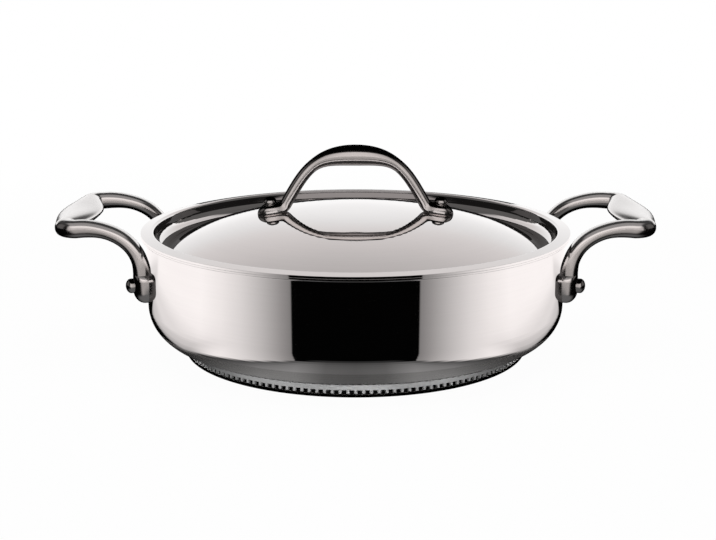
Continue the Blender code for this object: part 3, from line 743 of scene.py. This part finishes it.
def side_handle_rings():
    """Front half of the right handle, from the lower end of its foot to the middle of the grip."""
    rings = []
    up = Vector((0.0, 0.0, 1.0))
    radial = Vector((math.cos(FOOT_ANGLE), -math.sin(FOOT_ANGLE), 0.0))
    tangent = Vector((-math.sin(FOOT_ANGLE), -math.cos(FOOT_ANGLE), 0.0))
    front = Vector((0.0, -1.0, 0.0))
    foot_half = (FOOT_THICKNESS + FOOT_SINK) / 2.0
    foot_middle = radial * FOOT_RADIUS
    for step in range(ARC_STEPS + 1):
        angle = math.pi / 2.0 * step / ARC_STEPS
        inset = FOOT_END_ROUND * (1.0 - math.sin(angle))
        level = FOOT_BOTTOM + FOOT_END_HEIGHT * (1.0 - math.cos(angle))
        rings.append(section(foot_middle + up * level, up, tangent,
                             FOOT_WIDTH / 2.0 - inset, foot_half - inset, FOOT_ROUNDNESS))
    for step in range(SHOULDER_STEPS + 1):
        turn = math.radians(SHOULDER_TURN) * step / SHOULDER_STEPS
        inset = 1.0 - math.cos(turn)
        level = FOOT_TOP - FOOT_SHOULDER * (1.0 - math.sin(turn))
        rings.append(section(foot_middle + radial * FOOT_ARM_STEP * inset + up * level, up, tangent,
                             mix(FOOT_WIDTH, ARM_WIDTH_AT_FOOT, inset) / 2.0,
                             mix(foot_half, ARM_THICKNESS_AT_FOOT / 2.0, inset), FOOT_ROUNDNESS))

    grip_level = RIM_TOP + GRIP_ABOVE_RIM
    grip_line = PAN_OUTER_RADIUS + HANDLE_PROJECTION - GRIP_WIDTH / 2.0
    elbow = Vector((grip_line + GRIP_BOW - ELBOW_RADIUS, -(ARM_OFFSET - ELBOW_RADIUS), grip_level))
    start = radial * (FOOT_RADIUS + FOOT_ARM_STEP) + up * FOOT_TOP
    end = elbow + front * ELBOW_RADIUS
    curve = (start, start + up * ARM_RISE_PULL, end + Vector((-ARM_REACH_PULL, 0.0, ARM_CREST)), end)
    for share in shares(ARM_STEPS):
        place, direction = bezier(curve, share)
        across = tangent.lerp(front, ease(share, 0.0, ARM_TWIST_END))
        width = mix(ARM_WIDTH_AT_FOOT, ARM_WIDTH, ease(share, 0.0, ARM_WIDE_END))
        thickness = mix(ARM_THICKNESS_AT_FOOT, ARM_THICKNESS, ease(share, 0.0, ARM_THIN_END))
        thickness = mix(thickness, NOSE_THICKNESS, ease(share, NOSE_START))
        rings.append(section(place, direction, across, width / 2.0, thickness / 2.0, ARM_ROUNDNESS))
    for share in shares(ELBOW_STEPS)[1:]:
        angle = math.pi / 2.0 * share
        across = Vector((math.sin(angle), -math.cos(angle), 0.0))
        direction = Vector((math.cos(angle), math.sin(angle), 0.0))
        rings.append(section(elbow + across * ELBOW_RADIUS, direction, across, ARM_WIDTH / 2.0,
                             NOSE_THICKNESS / 2.0, mix(ARM_ROUNDNESS, GRIP_ROUNDNESS, share)))
    outward = Vector((1.0, 0.0, 0.0))
    for share in shares(GRIP_STEPS)[1:]:
        swell = math.sin(share * math.pi / 2.0)
        place = Vector((grip_line + GRIP_BOW * (1.0 - swell), elbow.y * (1.0 - share),
                        grip_level + GRIP_LIFT * ease(share)))
        width = mix(ARM_WIDTH, GRIP_WIDTH, swell)
        thickness = mix(NOSE_THICKNESS, GRIP_THICKNESS, ease(share))
        rings.append(section(place, -front, outward, width / 2.0, thickness / 2.0, GRIP_ROUNDNESS))
    return rings


def make_side_handles():
    for side, turn in (("right", 0.0), ("left", math.pi)):
        handle = mirrored_loft("handle_" + side + "_fine", side_handle_rings(), [CAST], 1)
        handle.rotation_euler.z = turn
        handle.visible_glossy = False
        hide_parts("handle_" + side)
        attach(handle, "pan")
    wall_bow = (RIVET_INNER_HEAD / 2.0) ** 2 / (2.0 * PAN_INNER_RADIUS)
    inner_seat = PAN_INNER_RADIUS - SEAT_GAP - wall_bow
    outer_seat = PAN_OUTER_RADIUS + FOOT_THICKNESS + SEAT_GAP
    sizes = (RIVET_SHANK, RIVET_HEAD, RIVET_COLLAR, RIVET_DOME, RIVET_INNER_HEAD, RIVET_INNER_DOME)
    for side, x in (("right", 1.0), ("left", -1.0)):
        for end, y in (("front", -1.0), ("rear", 1.0)):
            name = "handle_rivet_" + side + "_" + end
            bearing = Vector((x * math.cos(FOOT_ANGLE), y * math.sin(FOOT_ANGLE), 0.0))
            piece = rivet(name + "_fine", Vector((0.0, 0.0, RIVET_LEVEL)), bearing,
                          (inner_seat, outer_seat), sizes, [RIVET])
            piece.visible_glossy = False
            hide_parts(name)
            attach(piece, "pan")


def dome_edge():
    """Radius at which the dome runs into the corner of the channel, and its slope there."""
    radius = LID_CHANNEL_RADIUS
    for _ in range(DOME_EDGE_ROUNDS):
        slope = math.atan(LID_DOME_POWER * LID_DOME_RISE / radius)
        radius = LID_CHANNEL_RADIUS - LID_CHANNEL_CORNER * (1.0 + math.sin(slope))
    return radius, slope


def dome_height(radius):
    return LID_DOME_TOP - LID_DOME_RISE * (radius / dome_edge()[0]) ** LID_DOME_POWER


def dome_slope(radius):
    edge = dome_edge()[0]
    return math.atan(LID_DOME_RISE * LID_DOME_POWER / edge * (radius / edge) ** (LID_DOME_POWER - 1.0))


def lid_top():
    """The upper side of the lid from its middle to the edge of the flange."""
    edge, slope = dome_edge()
    corner_middle = (LID_CHANNEL_RADIUS - LID_CHANNEL_CORNER,
                     dome_height(edge) + LID_CHANNEL_CORNER * math.cos(slope))
    profile = [(edge * step / DOME_STEPS, dome_height(edge * step / DOME_STEPS))
               for step in range(DOME_STEPS + 1)]
    profile += arc(corner_middle, LID_CHANNEL_CORNER, -90.0 - math.degrees(slope), 0.0, CORNER_STEPS)[1:]
    droop = math.radians(LID_FLANGE_DROOP)
    radius = LID_CHANNEL_RADIUS + LID_FLANGE_CORNER
    run = RIM_RADIUS - radius - LID_FLANGE_CORNER * math.sin(droop)
    height = LID_FLANGE_TOP + run * math.tan(droop) - LID_FLANGE_CORNER * math.cos(droop)
    profile += arc((radius, height), LID_FLANGE_CORNER, 180.0, 90.0 - LID_FLANGE_DROOP, FLANGE_STEPS)
    return profile


def off_line(point, start, end):
    """How far a point lies from the line between two others."""
    run = (end[0] - start[0], end[1] - start[1])
    reach = (point[0] - start[0]) * run[0] + (point[1] - start[1]) * run[1]
    share = min(max(reach / (run[0] ** 2 + run[1] ** 2), 0.0), 1.0)
    return math.dist(point, (start[0] + run[0] * share, start[1] + run[1] * share))


def make_lid():
    top = held_straight(lid_top())
    under = []
    for index, point in enumerate(top):
        before = top[max(index - 1, 0)]
        after = top[min(index + 1, len(top) - 1)]
        run = (after[0] - before[0], after[1] - before[1])
        length = math.hypot(*run)
        under.append((point[0] + run[1] / length * LID_THICKNESS,
                      point[1] - run[0] / length * LID_THICKNESS))
    under[0] = (0.0, LID_DOME_TOP - LID_THICKNESS)
    edge_top = (RIM_RADIUS - LID_EDGE_BREAK, LID_FLANGE_TOP - LID_EDGE_BREAK)
    edge = arc(edge_top, LID_EDGE_BREAK, 90.0 - LID_FLANGE_DROOP, 0.0, BREAK_STEPS)
    edge += [(RIM_RADIUS, RIM_TOP + LID_REST), (RIM_RADIUS - RIM_LAND, RIM_TOP + LID_REST)]
    under = [point for point in under if point[0] < RIM_RADIUS - RIM_LAND]
    shown = top + edge[:-1]

    def below(radius, height):
        """Polished above and on the edge, satin below."""
        off = min(off_line((radius, height), *run) for run in zip(shown, shown[1:]))
        return 1 if off > LID_THICKNESS / 4.0 else 0

    lid = turned("lid_shell_fine", top + edge + under[::-1], [POLISHED, SATIN], pick=below)
    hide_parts("lid_shell")
    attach(lid, "lid")


def lid_rivet_places():
    slope = dome_slope(ARCH_FOOT_RADIUS)
    height = dome_height(ARCH_FOOT_RADIUS)
    places = []
    for name, side in (("lid_rivet_right", 1.0), ("lid_rivet_left", -1.0)):
        places.append((name, Vector((side * ARCH_FOOT_RADIUS, 0.0, height)),
                       Vector((side * math.sin(slope), 0.0, math.cos(slope)))))
    return places


def arch_rings():
    """Right half of the lid handle, from the outer end of its lug to the top of the arch."""
    rings = []
    _, place, normal = lid_rivet_places()[0]
    inward = Vector((-normal.z, 0.0, normal.x))
    across = Vector((0.0, 1.0, 0.0))
    half_width = LUG_WIDTH / 2.0
    half_thickness = (LUG_THICKNESS + LUG_SINK) / 2.0
    lug_middle = place + normal * (LUG_THICKNESS - half_thickness)
    for step in range(1, ARC_STEPS + 1):
        angle = math.pi / 2.0 * step / ARC_STEPS
        reach = LUG_LENGTH / 2.0 - half_width + half_width * math.cos(angle)
        swell = math.sin(angle)
        thin = half_thickness * mix(LUG_END_THINNESS, 1.0, swell)
        spot = lug_middle - inward * reach - normal * (half_thickness - thin)
        rings.append(section(spot, inward, across, half_width * swell, thin, LUG_ROUNDNESS))
    lean = math.radians(ARCH_LEG_LEAN)
    leg_direction = Vector((-math.sin(lean), 0.0, math.cos(lean)))
    leg_radius = ARCH_FOOT_RADIUS - ARCH_LEG_INSET
    leg_start = Vector((leg_radius, 0.0, dome_height(leg_radius) + ARCH_LEG_RISE))
    bend_start = lug_middle + inward * (LUG_LENGTH / 2.0 - half_width)
    pull = (leg_start - bend_start).length * BEND_PULL
    bend = (bend_start, bend_start + inward * pull, leg_start - leg_direction * pull, leg_start)
    for share in shares(BEND_STEPS)[1:-1]:
        spot, direction = bezier(bend, share)
        rings.append(section(spot, direction, across,
                             mix(half_width, ARCH_LEG_WIDTH / 2.0, ease(share)),
                             mix(half_thickness, ARCH_LEG_THICKNESS / 2.0, share), LUG_ROUNDNESS))
    top = Vector((0.0, 0.0, LID_DOME_TOP + ARCH_ABOVE_DOME - ARCH_MIDDLE_THICKNESS / 2.0))
    curve = (leg_start, leg_start + leg_direction * ARCH_LEG_PULL,
             top + Vector((ARCH_TOP_PULL, 0.0, 0.0)), top)
    for share in shares(ARCH_STEPS):
        spot, direction = bezier(curve, share)
        swell = ease(share, ARCH_SWELL_START)
        rings.append(section(spot, direction, across,
                             mix(ARCH_LEG_WIDTH, ARCH_MIDDLE_WIDTH, swell) / 2.0,
                             mix(ARCH_LEG_THICKNESS, ARCH_MIDDLE_THICKNESS, swell) / 2.0,
                             ARCH_ROUNDNESS))
    return rings


def make_lid_handle():
    handle = mirrored_loft("lid_handle_fine", arch_rings(), [CAST], 0)
    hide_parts("lid_handle")
    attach(handle, "lid")
    grip = (-LID_THICKNESS - SEAT_GAP, LUG_THICKNESS + SEAT_GAP)
    sizes = (LID_RIVET_SHANK, LID_RIVET_HEAD, LID_RIVET_COLLAR, LID_RIVET_DOME,
             LID_RIVET_INNER_HEAD, LID_RIVET_INNER_DOME)
    for name, place, normal in lid_rivet_places():
        piece = rivet(name + "_fine", place, normal, grip, sizes, [RIVET])
        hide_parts(name)
        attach(piece, "lid")


# Studio

def floor_radius(tree):
    x, y, _ = place_of(tree)
    return radius_of(tree, x, y)


def bearing_of(tree, centre=0.0):
    """Half turns from straight ahead, the same on both sides, about a point that far in front of
    the pan's axis."""
    x, y, _ = place_of(tree)
    ahead = math_node(tree, "SUBTRACT", math_node(tree, "MULTIPLY", y, -1.0), centre)
    turn = math_node(tree, "ARCTAN2", math_node(tree, "ABSOLUTE", x), ahead)
    return math_node(tree, "DIVIDE", turn, math.pi)


def turn_over(tree, y, z):
    """Half turns over the pan from the far horizon."""
    return math_node(tree, "DIVIDE", math_node(tree, "ARCTAN2", z, y), math.pi)


def make_world():
    """White to the camera and dark to the steel, which sees the cards instead. It lights the rest
    from a pale band low on the far side."""
    world = bpy.data.worlds.new("studio")
    bpy.context.scene.world = world
    world.use_nodes = True
    tree = world.node_tree
    tree.nodes.clear()
    x, y, z = place_of(tree, "Generated")
    band = turn_ramp(tree, turn_over(tree, y, z), WORLD_GLOW)
    glow = fade_out(tree, band, math_node(tree, "ABSOLUTE", x), *WORLD_SIDES)
    path = node(tree, "ShaderNodeLightPath")
    background = node(tree, "ShaderNodeBackground")
    feed(tree, background.inputs["Color"], mix_colour(tree, path.outputs["Is Glossy Ray"], glow, BLACK))
    white = node(tree, "ShaderNodeBackground")
    feed(tree, white.inputs["Color"], WHITE)
    seen = mix_shader(tree, path.outputs["Is Camera Ray"], background.outputs[0], white.outputs[0])
    show(tree, seen, "ShaderNodeOutputWorld")


def new_tree(name, mesh):
    """The empty nodes of a new material on a mesh."""
    mat = bpy.data.materials.new(name)
    mat.use_nodes = True
    mat.node_tree.nodes.clear()
    mesh.materials.append(mat)
    return mat.node_tree


def stage_object(name, points, faces):
    mesh = bpy.data.meshes.new(name)
    mesh.from_pydata(points, [], faces)
    item = bpy.data.objects.new(name, mesh)
    add_to_scene(item)
    return item


def make_floor():
    """A pale floor that keeps a soft shadow. The steel sees it dark, and grey far out in front."""
    corners = [(x * FLOOR_HALF, y * FLOOR_HALF, FLOOR_LEVEL) for x, y in ((-1, -1), (1, -1), (1, 1), (-1, 1))]
    floor = stage_object("floor", corners, [(0, 1, 2, 3)])
    tree = new_tree("floor", floor.data)
    diffuse = node(tree, "ShaderNodeBsdfDiffuse")
    feed(tree, diffuse.inputs["Color"], FLOOR_COLOUR)
    white = node(tree, "ShaderNodeEmission")
    mirrored = node(tree, "ShaderNodeEmission")
    radius = floor_radius(tree)
    ahead = turn_ramp(tree, bearing_of(tree), FLOOR_GREY)
    feed(tree, mirrored.inputs["Color"],
         mix_colour(tree, step_up(tree, radius, *FLOOR_GREY_START), BLACK, ahead))
    path = node(tree, "ShaderNodeLightPath")
    share = math_node(tree, "MULTIPLY", path.outputs["Is Camera Ray"],
                      step_up(tree, radius, *FLOOR_WHITENS, *FLOOR_WHITE_SHARES))
    plain = mix_shader(tree, share, diffuse.outputs[0], white.outputs[0])
    show(tree, mix_shader(tree, path.outputs["Is Glossy Ray"], plain, mirrored.outputs[0]))


def by_two_mirrors(tree):
    """1 where a mirror shows a sheet in another mirror, and 0 where one mirror shows it."""
    depth = node(tree, "ShaderNodeLightPath").outputs["Ray Depth"]
    return math_node(tree, "GREATER_THAN", depth, SECOND_MIRROR)


def with_echo(tree, colour):
    """Holds a glow back where a mirror shows it in another mirror."""
    return mix_colour(tree, by_two_mirrors(tree), colour, product(tree, colour, (ECHO, ECHO, ECHO)))


def gather(name, pieces):
    """A collection that holds pieces for a card or lamp to reach, without showing them twice."""
    group = bpy.data.collections.new(name)
    for piece in pieces:
        group.objects.link(piece)
    return group


def card(name, lines, seen_by):
    """A sheet between lines of points, whose glow only the pieces of one collection mirror. It
    hides nothing."""
    count = len(lines[0])
    points = [tuple(part * MM for part in point) for line in lines for point in line]
    faces = []
    for low in range(0, count * (len(lines) - 1), count):
        faces += [(low + step, low + step + 1, low + count + step + 1, low + count + step)
                  for step in range(count - 1)]
    sheet = stage_object(name, points, faces)
    for rays in ("camera", "diffuse", "shadow", "transmission"):
        setattr(sheet, "visible_" + rays, False)
    sheet.light_linking.receiver_collection = seen_by
    tree = new_tree(name, sheet.data)
    glow = node(tree, "ShaderNodeEmission")
    both = node(tree, "ShaderNodeAddShader")
    tree.links.new(glow.outputs[0], both.inputs[0])
    tree.links.new(node(tree, "ShaderNodeBsdfTransparent").outputs[0], both.inputs[1])
    show(tree, both.outputs[0])
    return tree, glow.inputs["Color"]


def fan(radius, spread, steps, height=0.0):
    """A line of points round the pan, out to spread degrees on each side of straight ahead."""
    spread = math.radians(spread)
    line = []
    for step in range(steps + 1):
        angle = -math.pi / 2 - spread + 2 * spread * step / steps
        line.append(polar(radius, angle, height))
    return line


def make_table_card(seen_by):
    """The floor round the pan: black in front, pale at the sides, shade below the overhang."""
    lines = [fan(radius, 180.0, TABLE_STEPS) for radius in TABLE_RADII]
    tree, colour = card("table_card", lines, seen_by)
    round_pan = bearing_of(tree)
    edge = turn_ramp(tree, round_pan, [(turn, reach * MM / SHADE_REACH) for turn, reach in SHADE_EDGE],
                     "B_SPLINE")
    inside = math_node(tree, "SUBTRACT", math_node(tree, "MULTIPLY", edge, SHADE_REACH),
                       floor_radius(tree))
    outside = math_node(tree, "MULTIPLY", inside, -1.0)
    near = reach_ramp(tree, outside, SHADE_REACH, SHADE_FADE)
    fade = mix_colour(tree, step_up(tree, round_pan, *SHADE_FADE_START), WHITE, near)
    bright = product(tree, turn_ramp(tree, bearing_of(tree, TABLE_LIT_CENTRE), TABLE_LIT), fade)
    dim = product(tree, turn_ramp(tree, round_pan, SHADE_LEVELS),
                  reach_ramp(tree, inside, SHADE_RISE_REACH, SHADE_RISE))
    both = mix_colour(tree, step_up(tree, inside, *SHADE_SOFT_EDGE), bright, dim)
    tree.links.new(with_echo(tree, both), colour)


def make_front_card(seen_by):
    """The floor in front of the pan, which only the handles and rivets mirror as grey."""
    lines = [fan(radius, FRONT_SPREAD, FRONT_STEPS, FRONT_HEIGHT) for radius in (FRONT_START, CARD_RADIUS)]
    tree, colour = card("front_card", lines, seen_by)
    bearing = bearing_of(tree)
    ahead = turn_ramp(tree, bearing, FRONT_AHEAD)
    beside = turn_ramp(tree, bearing, FRONT_BESIDE)
    start = step_up(tree, floor_radius(tree), *FRONT_AHEAD_START)
    tree.links.new(mix_colour(tree, start, beside, ahead), colour)


def make_panel_card(seen_by):
    """A warm grey panel behind the camera, which the handles and rivets mirror."""
    lines = [fan(PANEL_DISTANCE, PANEL_SPREAD, PANEL_STEPS, level)
             for level in (0.0, PANEL_DISTANCE * PANEL_TOP)]
    tree, colour = card("panel_card", lines, seen_by)
    wall = turn_ramp(tree, bearing_of(tree), PANEL_LEVELS)
    level = share_of(tree, place_of(tree)[2], PANEL_DISTANCE)
    tree.links.new(fade_out(tree, wall, level, PANEL_TOP * PANEL_SOFT_TOP, PANEL_TOP), colour)


def upright(side, reach, half, levels):
    """The lines of an upright sheet beside the pan. half and levels are shares of its reach."""
    return [[(side * reach, y * reach, z * reach) for z in levels] for y in (-half, half)]


def make_side_panel(name, seen_by, side):
    """A dim panel beside the pan, for the handles and rivets seen from the side."""
    lines = upright(side, PANEL_DISTANCE, SIDE_PANEL_HALF, (0.0, PANEL_TOP))
    tree, colour = card(name, lines, seen_by)
    _, y, z = place_of(tree)
    off = share_of(tree, y, PANEL_DISTANCE)
    level = share_of(tree, z, PANEL_DISTANCE)
    inner = fade_out(tree, SIDE_PANEL, off, SIDE_PANEL_HALF * SIDE_PANEL_SOFT_END, SIDE_PANEL_HALF)
    tree.links.new(fade_out(tree, inner, level, PANEL_TOP * SIDE_PANEL_SOFT_TOP, PANEL_TOP), colour)


def make_sky_card(name, seen_by, reach, stops):
    """A curved sheet from the far horizon to high over the pan, graded from back to front, with a
    dim ceiling above and in front. It grades the dome of the lid, and whitens flanges and grips."""
    lines = []
    for side in (-1.0, 1.0):
        turns = [math.radians(SKY_END) * step / SKY_STEPS for step in range(SKY_STEPS + 1)]
        lines.append([(side * reach, reach * math.cos(turn), reach * math.sin(turn)) for turn in turns])
    tree, colour = card(name, lines, seen_by)
    x, y, z = place_of(tree)
    turn = turn_over(tree, y, z)
    middle = step_down(tree, share_of(tree, x, reach), *CEILING_SIDES)
    shown = math_node(tree, "MULTIPLY", step_up(tree, turn, *CEILING_START), middle)
    sky = mix_colour(tree, shown, turn_ramp(tree, turn, stops), CEILING)
    tree.links.new(with_echo(tree, sky), colour)


def make_channel_card(seen_by):
    """A small sheet above the far side of the lid, seen only by way of two mirrors: it greys the
    middle of the far channel, which shows it in the back of the dome."""
    half = CHANNEL_CARD_HALF
    lines = [[(x, y, CHANNEL_CARD_HEIGHT) for y in CHANNEL_CARD_DEPTH] for x in (-half, half)]
    tree, colour = card("channel_card", lines, seen_by)
    wide = share_of(tree, place_of(tree)[0], half)
    shown = math_node(tree, "MULTIPLY", by_two_mirrors(tree),
                      step_down(tree, wide, CHANNEL_CARD_SOFT_END, 1.0))
    tree.links.new(mix_colour(tree, shown, NOTHING, CEILING), colour)


def make_lug_card(seen_by):
    """A sheet beyond the camera, seen only by way of two mirrors: it lights the faces of the lugs
    of the lid handle, which show it in the dome."""
    reach, half = LUG_CARD_REACH, LUG_CARD_HALF
    lines = [[(x * reach, -reach, z * reach) for z in LUG_CARD_LEVELS] for x in (-half, half)]
    tree, colour = card("lug_card", lines, seen_by)
    tree.links.new(mix_colour(tree, by_two_mirrors(tree), NOTHING, LUG_CARD_LIGHT), colour)


def make_side_card(name, seen_by, side):
    """A sheet beside the pan from the horizon upward, so that the lid shows grey from the sides."""
    lines = upright(side, SIDE_SKY_RADIUS, SIDE_SKY_HALF, SIDE_SKY_LEVELS)
    tree, colour = card(name, lines, seen_by)
    level = share_of(tree, place_of(tree)[2], SIDE_SKY_LEVELS[1] * SIDE_SKY_RADIUS)
    tree.links.new(with_echo(tree, ramp_node(tree, level, SIDE_SKY_GRADE)), colour)


def make_cards():
    fine = {item.name: item for item in bpy.data.objects if item.name.endswith("_fine")}
    mirrors = gather("mirrors", [fine["pan_body_fine"], fine["lid_shell_fine"]])
    castings = gather("castings", [item for name, item in fine.items()
                                   if name.startswith(("handle_", "lid_handle", "lid_rivet"))])
    grips = gather("grips", [fine["handle_left_fine"], fine["handle_right_fine"]])
    make_table_card(mirrors)
    make_front_card(castings)
    make_panel_card(castings)
    make_sky_card("sky_card", mirrors, SKY_RADIUS, SKY)
    make_channel_card(mirrors)
    make_lug_card(mirrors)
    for name, side in (("left", -1.0), ("right", 1.0)):
        make_side_panel(name + "_panel", castings, side)
        make_side_card(name + "_card", mirrors, side)
    make_sky_card("grip_card", grips, GRIP_SKY_RADIUS, GRIP_SKY)


def area_lamp(name, place, target, size, power):
    light = bpy.data.lights.new(name, "AREA")
    light.shape = "DISK"
    light.size = size
    light.energy = power
    lamp = bpy.data.objects.new(name, light)
    lamp.location = place
    aim = Vector(target) - Vector(place)
    lamp.rotation_euler = aim.to_track_quat("-Z", "Y").to_euler()
    lamp.visible_camera = False
    add_to_scene(lamp)
    return lamp


def make_lamps():
    """A broad soft lamp above, for the shadow on the floor, and three low ones for the core."""
    x, y, _ = OVERHEAD_PLACE
    overhead = area_lamp("overhead", OVERHEAD_PLACE, (x, y, 0.0), OVERHEAD_SIZE, OVERHEAD_POWER)
    overhead.visible_glossy = False
    core = gather("core", [bpy.data.objects["base_core_fine"]])
    for name, turn in LOW_TURNS.items():
        angle = math.radians(turn)
        place = (LOW_DISTANCE * math.sin(angle), -LOW_DISTANCE * math.cos(angle), LOW_HEIGHT)
        lamp = area_lamp(name, place, (0.0, 0.0, 0.0), LOW_SIZE, LOW_POWER)
        lamp.light_linking.receiver_collection = core


def make_camera():
    lens = bpy.data.cameras.new("camera")
    lens.sensor_width = CAMERA_SENSOR
    lens.lens = CAMERA_LENS
    lens.shift_x, lens.shift_y = CAMERA_SHIFT
    lens.clip_start, lens.clip_end = CAMERA_CLIP
    camera = bpy.data.objects.new("camera", lens)
    camera.location = CAMERA_PLACE
    camera.rotation_euler = (math.radians(CAMERA_TURN), 0.0, 0.0)
    add_to_scene(camera)
    bpy.context.scene.camera = camera


make_camera()
make_pan()
make_base()
make_side_handles()
make_lid()
make_lid_handle()
make_world()
make_floor()
make_cards()
make_lamps()
bpy.context.scene.view_settings.view_transform = "Standard"
